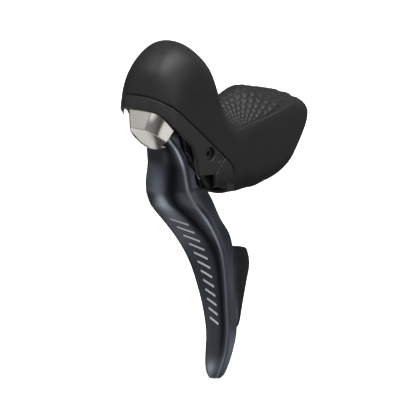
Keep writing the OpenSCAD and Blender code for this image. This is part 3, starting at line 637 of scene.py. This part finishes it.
def blade():
    """The bent blade with its clearance holes, and its painted highlights and painted shade kept on its points as an
    attribute.
    """
    rows = smooth_rows(BLADE, 10)
    u = across_face(5)
    painted_light_tree = KDTree(len(rows) * len(u))
    body = loft("blade", [wall_ring(s[0], blade_path(s), tip_thin(s[0]), 5, carved=True) for s in rows])
    points = coords(body).reshape(len(rows), -1, 3)[:, : len(u)].reshape(-1, 3)
    # Painted highlight and painted shade for each point of the uncut loft.
    level = painted_light_level(np.tile(u, len(rows)), points[:, 2])
    for k, point in enumerate(points):
        painted_light_tree.insert(point, k)
    painted_light_tree.balance()
    bevelled(body, 0.45, 55)
    cut(
        body, "DIFFERENCE", rod(HUB_R, unit_point(0, 0, -3), unit_point(0, 0, 4.2)),
        rod(AXLE_CLEAR_R, unit_point(0, 0, 0), unit_point(0, 0, 20)),
        rod(PIN_R, unit_point(5.5, -9.3, -3), unit_point(5.5, -9.3, 4.2)),
        *[rod(RIVET_R, unit_point(x, -12.7, -3), unit_point(x, -12.7, 5)) for x in (-2.6, 2.6)],
    )
    # Each point takes the painted highlight or shade of the nearest loft point.
    painted_light = [level[painted_light_tree.find(v.co)[1]] for v in body.data.vertices]
    body.data.attributes.new("painted_light", "FLOAT", "POINT").data.foreach_set("value", painted_light)
    return smooth(body, 35)


def paddle():
    rows = smooth_rows(PADDLE, 6)
    body = loft("paddle", [wall_ring(s[0], paddle_path(s), -PADDLE_T, 4) for s in rows])
    bevelled(body, 0.4, 55)
    cut(body, "DIFFERENCE", *[rod(0.95, (6.4, -47, z), (10.4, -47, z)) for z in (-54, -67)])
    return smooth(body, 35)


def unit_shroud():
    """The unit cover without its inboard wing, which the blade hides."""
    node = frame["nodes"]["unit_cover"]
    body = new_object("shroud", [v.co / MM for v in node.data.vertices], [p.vertices[:] for p in node.data.polygons])
    bm = bmesh.new()
    bm.from_mesh(body.data)
    bmesh.ops.remove_doubles(bm, verts=bm.verts, dist=0.002)
    bm.to_mesh(body.data)
    bm.free()
    cut(body, "DIFFERENCE", block((-14, -92, -12), (-10.9, -60, 16)))
    return smooth(bevelled(body, 0.4, 32), 35)


def blade_marks(blade_piece):
    """A row of thin slanted bars laid on the front of the blade."""
    tree = BVHTree.FromObject(blade_piece, bpy.context.evaluated_depsgraph_get())
    table = np.array(BLADE)
    verts, faces = [], []
    for k in range(MARKS):
        z0 = np.interp(k, [0, MARKS - 1], [MARKS_TOP, MARKS_END])
        edge, crease = (np.interp(-z0, -table[:, 0], table[:, c]) for c in (1, 3))
        x0 = edge + (crease - edge) * np.interp(z0, [MARKS_END, MARKS_TOP], [0.64, 0.52])
        half = np.interp(z0, [MARKS_END, MARKS_TOP], [2.3, 2.9])
        base = len(verts)
        for lift in (0.06, -0.3):
            for i in range(MARK_STEPS + 1):
                for side in (-MARK_HALF_W, MARK_HALF_W):
                    along = (2 * i / MARK_STEPS - 1) * half
                    x, z = x0 + along, z0 - along * MARK_SLOPE + side
                    hit, n, _, _ = tree.ray_cast(Vector((x, -150, z)), Vector((0, 1, 0)))
                    verts.append(hit + n * lift)
        end = 2 * MARK_STEPS
        for a in range(base, base + end, 2):
            b = a + end + 2
            faces += [[a, a + 1, a + 3, a + 2], [b, b + 2, b + 3, b + 1]]
            faces += [[a, a + 2, b + 2, b], [a + 1, b + 1, b + 3, a + 3]]
        a, b = base, base + end + 2
        faces += [[a, b, b + 1, a + 1], [a + end, a + end + 1, b + end + 1, b + end]]
    return smooth(outward(new_object("marks", verts, faces)), 40)


def front_plate():
    """The polished plate: both halves of its facets and the strip between them, as thin sheet."""
    names = list(PLATE)
    verts = [PLATE[k] for k in names] + [(-PLATE[k][0],) + PLATE[k][1:] for k in names]
    n = len(names)
    right = [[names.index(k) for k in f] for f in PLATE_FACES]
    middle = [(names.index(a), names.index(b)) for a, b in (("top", "chin"), ("chin", "throat"), ("throat", "foot"))]
    faces = right + [[i + n for i in f][::-1] for f in right] + [[a, a + n, b + n, b] for a, b in middle]
    body = outward(new_object("plate", verts, faces))
    centre = Vector((0, -87, 24))
    if sum((p.center - centre).dot(p.normal) for p in body.data.polygons) < 0:
        body.data.flip_normals()
    mod = body.modifiers.new("sheet", "SOLIDIFY")
    mod.thickness = PLATE_T
    mod.offset = -1
    settle(body)
    bevelled(body, 0.32, 20, 4)
    return smooth(body, 35)


brake_blade = blade()
marks = blade_marks(brake_blade)
place(brake_blade, "brake_blade", "main_lever", "blade_metal", MATS["blade_metal"], "main_blade")
place(marks, "blade_marks", "main_lever", "steel", MATS["marks"])
place(paddle(), "release_paddle", "release_lever", "paddle_metal", MATS["paddle_metal"], "shift_paddle")
place(unit_shroud(), "unit_shroud", "carrier", "gloss_black", MATS["gloss_black"], "unit_cover")
place(front_plate(), "front_plate", "carrier", "polished", MATS["polished"], "nameplate")

# ---------------------------------------------------------------- floor, light and camera
# The studio: soft light panels given by their direction, the angles of their full and outer edge, and their strength
PANELS = [
    ((0.42, -0.05, 0.90), 5, 22, 12.0),
    ((0.20, -0.20, 0.95), 40, 95, 0.22),
    ((0.95, 0.06, 0.32), 8, 25, 1.6),
    ((0.88, 0.12, -0.47), 9, 20, 0.95),
    ((0.80, -0.60, 0.03), 4, 14, 0.8),
    ((0.35, -0.80, -0.45), 12, 48, 0.22),
    ((0.10, -0.33, -0.93), 8, 26, 0.9),
    ((-0.60, -0.79, -0.02), 14, 40, 0.50),
    ((-0.72, 0.10, -0.68), 14, 24, 0.72),
    ((0.30, 0.90, 0.30), 10, 50, 0.20),
]
AMBIENT = 0.08
FLOOR_GAP = 0.0006  # metres below the lowest point


def pale_floor(height):
    floor = new_object("floor", [(-3, -3, 0), (3, -3, 0), (3, 3, 0), (-3, 3, 0)], [(0, 1, 2, 3)])
    floor.location = (0, 0, height)
    floor.visible_glossy = False
    floor.visible_diffuse = False
    floor.visible_shadow = False
    pale = bpy.data.materials.new("pale_floor")
    pale.use_nodes = True
    shader = pale.node_tree.nodes["Principled BSDF"]
    shader.inputs["Base Color"].default_value = (0.93, 0.93, 0.93, 1)
    shader.inputs["Roughness"].default_value = 0.9
    shader.inputs["Emission Color"].default_value = (1, 1, 1, 1)
    shader.inputs["Emission Strength"].default_value = 0.82
    floor.data.materials.append(pale)
    floor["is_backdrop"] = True


def studio():
    """The panels on a dark world. The camera itself sees plain white."""
    world = bpy.data.worlds.new("studio")
    bpy.context.scene.world = world
    world.use_nodes = True
    nodes, links = world.node_tree.nodes, world.node_tree.links
    ground = nodes["Background"]
    where = nodes.new("ShaderNodeTexCoord")
    total = None
    for direction, inner, outer, strength in PANELS:
        dot = nodes.new("ShaderNodeVectorMath")
        dot.operation = "DOT_PRODUCT"
        dot.inputs[1].default_value = Vector(direction).normalized()
        links.new(where.outputs["Generated"], dot.inputs[0])
        span = nodes.new("ShaderNodeMapRange")
        span.interpolation_type = "SMOOTHSTEP"
        span.inputs["From Min"].default_value = math.cos(math.radians(outer))
        span.inputs["From Max"].default_value = math.cos(math.radians(inner))
        span.inputs["To Min"].default_value = AMBIENT if total is None else 0.0
        span.inputs["To Max"].default_value = strength
        links.new(dot.outputs["Value"], span.inputs["Value"])
        if total is None:
            total = span.outputs["Result"]
        else:
            add = nodes.new("ShaderNodeMath")
            links.new(total, add.inputs[0])
            links.new(span.outputs["Result"], add.inputs[1])
            total = add.outputs["Value"]
    ground.inputs["Color"].default_value = (1, 1, 1, 1)
    links.new(total, ground.inputs["Strength"])
    backdrop = nodes.new("ShaderNodeBackground")
    path = nodes.new("ShaderNodeLightPath")
    mix = nodes.new("ShaderNodeMixShader")
    links.new(path.outputs["Is Camera Ray"], mix.inputs[0])
    links.new(ground.outputs["Background"], mix.inputs[1])
    links.new(backdrop.outputs["Background"], mix.inputs[2])
    backdrop.inputs["Color"].default_value = (1, 1, 1, 1)
    links.new(mix.outputs["Shader"], nodes["World Output"].inputs["Surface"])


def lamp(name, at, aim, size, power):
    data = bpy.data.lights.new(name, "AREA")
    data.size = size
    data.energy = power
    obj = bpy.data.objects.new(name, data)
    obj.location = at
    obj.rotation_euler = (Vector(aim) - Vector(at)).to_track_quat("-Z", "Y").to_euler()
    obj.visible_camera = False
    bpy.context.scene.collection.objects.link(obj)


def camera(at, aim, lens):
    data = bpy.data.cameras.new("camera")
    data.lens = lens
    data.sensor_width = 36
    data.clip_start = 0.05
    data.clip_end = 20
    obj = bpy.data.objects.new("camera", data)
    obj.location = at
    obj.rotation_euler = (Vector(aim) - obj.location).to_track_quat("-Z", "Y").to_euler()
    bpy.context.scene.collection.objects.link(obj)
    bpy.context.scene.camera = obj


pale_floor(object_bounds()[0].z - FLOOR_GAP)
studio()
lamp("key", (-0.25, -0.45, 0.95), (-0.016, -0.024, -0.035), 0.45, 3)
camera((0.8799, -1.1708, 0.3275), (-0.0162, -0.0239, -0.0354), 257)
bpy.context.scene.view_settings.view_transform = "Standard"
